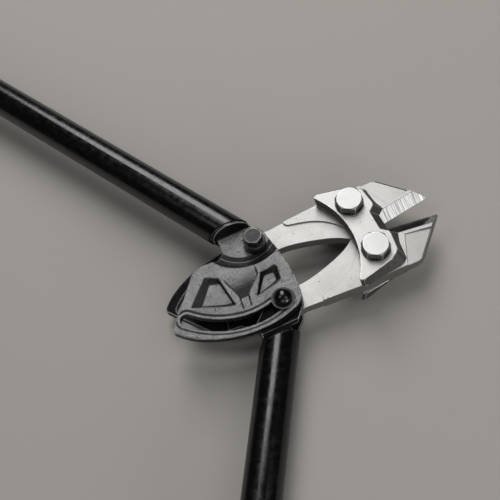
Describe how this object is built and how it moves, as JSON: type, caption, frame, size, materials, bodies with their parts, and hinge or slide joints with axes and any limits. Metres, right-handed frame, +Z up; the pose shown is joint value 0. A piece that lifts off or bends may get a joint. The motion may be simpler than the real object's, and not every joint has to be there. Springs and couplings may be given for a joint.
{
  "type": "bolt cutters",
  "caption": "Long-handled compound-lever bolt cutters, shown open: forged jaws between bolted straps, cast slotted heads, tubular steel handles. Swinging the handles together closes it.",
  "frame": {"origin": "centre of the open tool's footprint on the floor, Z = 0 at the strap nuts' and end caps' lowest point", "axes": "+X along the tool's centre line from the handles to the blades' tips, +Y across to the upper handle, +Z up out of the front strap"},
  "size_m": [0.4695, 1.158, 0.0488],
  "materials": {
    "bright_steel": "fine ground and blasted forged steel",
    "plated_steel": "bright zinc plated",
    "bronze": "sintered bronze",
    "black_casting": "fine-grained black coat on cast steel",
    "black_tube": "semi-gloss black paint",
    "black_hardware": "glossy black oxide",
    "soft_grip": "soft matt black",
    "hard_plastic": "matt black"
  },
  "bodies": {
    "head": {"front_strap": "bright_steel", "rear_strap": "bright_steel", "strap_bolts": "plated_steel", "strap_nuts": "plated_steel", "front_lock_washers": "plated_steel", "rear_lock_washers": "plated_steel", "strap_sleeves": "plated_steel"},
    "upper_jaw": {"upper_jaw": "bright_steel", "upper_jaw_bush": "bronze", "upper_eye_bush": "bronze"},
    "lower_jaw": {"lower_jaw": "bright_steel", "lower_jaw_bush": "bronze", "lower_eye_bush": "bronze"},
    "upper_handle": {"upper_head_casting": "black_casting", "upper_tube": "black_tube", "upper_cross_pins": "black_tube", "upper_grip": "soft_grip", "upper_end_cap": "hard_plastic", "upper_pivot_bolt": "black_hardware", "upper_pivot_collar": "black_hardware", "upper_slot_roller": "bright_steel", "upper_slot_washer": "bright_steel", "upper_cap_nut": "black_hardware"},
    "lower_handle": {"lower_head_casting": "black_casting", "lower_tube": "black_tube", "lower_cross_pins": "black_tube", "lower_grip": "soft_grip", "lower_end_cap": "hard_plastic", "lower_pivot_bolt": "black_hardware", "lower_pivot_collar": "black_hardware", "lower_slot_roller": "bright_steel", "lower_slot_washer": "bright_steel", "lower_cap_nut": "black_hardware"}
  },
  "joints": [
    {"name": "upper_handle_hinge", "type": "hinge", "parent": "upper_jaw", "child": "upper_handle", "pos_m": [0.0991, 0.0275, 0.0244], "axis": [0, 0, 1], "range_deg": [0, 60]},
    {"name": "upper_jaw_hinge", "type": "hinge", "parent": "head", "child": "upper_jaw", "pos_m": [0.1765, 0.022, 0.0244], "axis": [0, 0, 1], "range_deg": [-8, 0]},
    {"name": "lower_jaw_hinge", "type": "hinge", "parent": "head", "child": "lower_jaw", "pos_m": [0.1765, -0.022, 0.0244], "axis": [0, 0, 1], "range_deg": [0, 8]},
    {"name": "lower_handle_hinge", "type": "hinge", "parent": "lower_jaw", "child": "lower_handle", "pos_m": [0.0991, -0.0275, 0.0244], "axis": [0, 0, 1], "range_deg": [-60, 0]}
  ],
  "couplings": [
    {"joint": "upper_jaw_hinge", "follows": "upper_handle_hinge", "ratio": -0.13333},
    {"joint": "lower_jaw_hinge", "follows": "upper_handle_hinge", "ratio": 0.13333},
    {"joint": "lower_handle_hinge", "follows": "upper_handle_hinge", "ratio": -1}
  ]
}
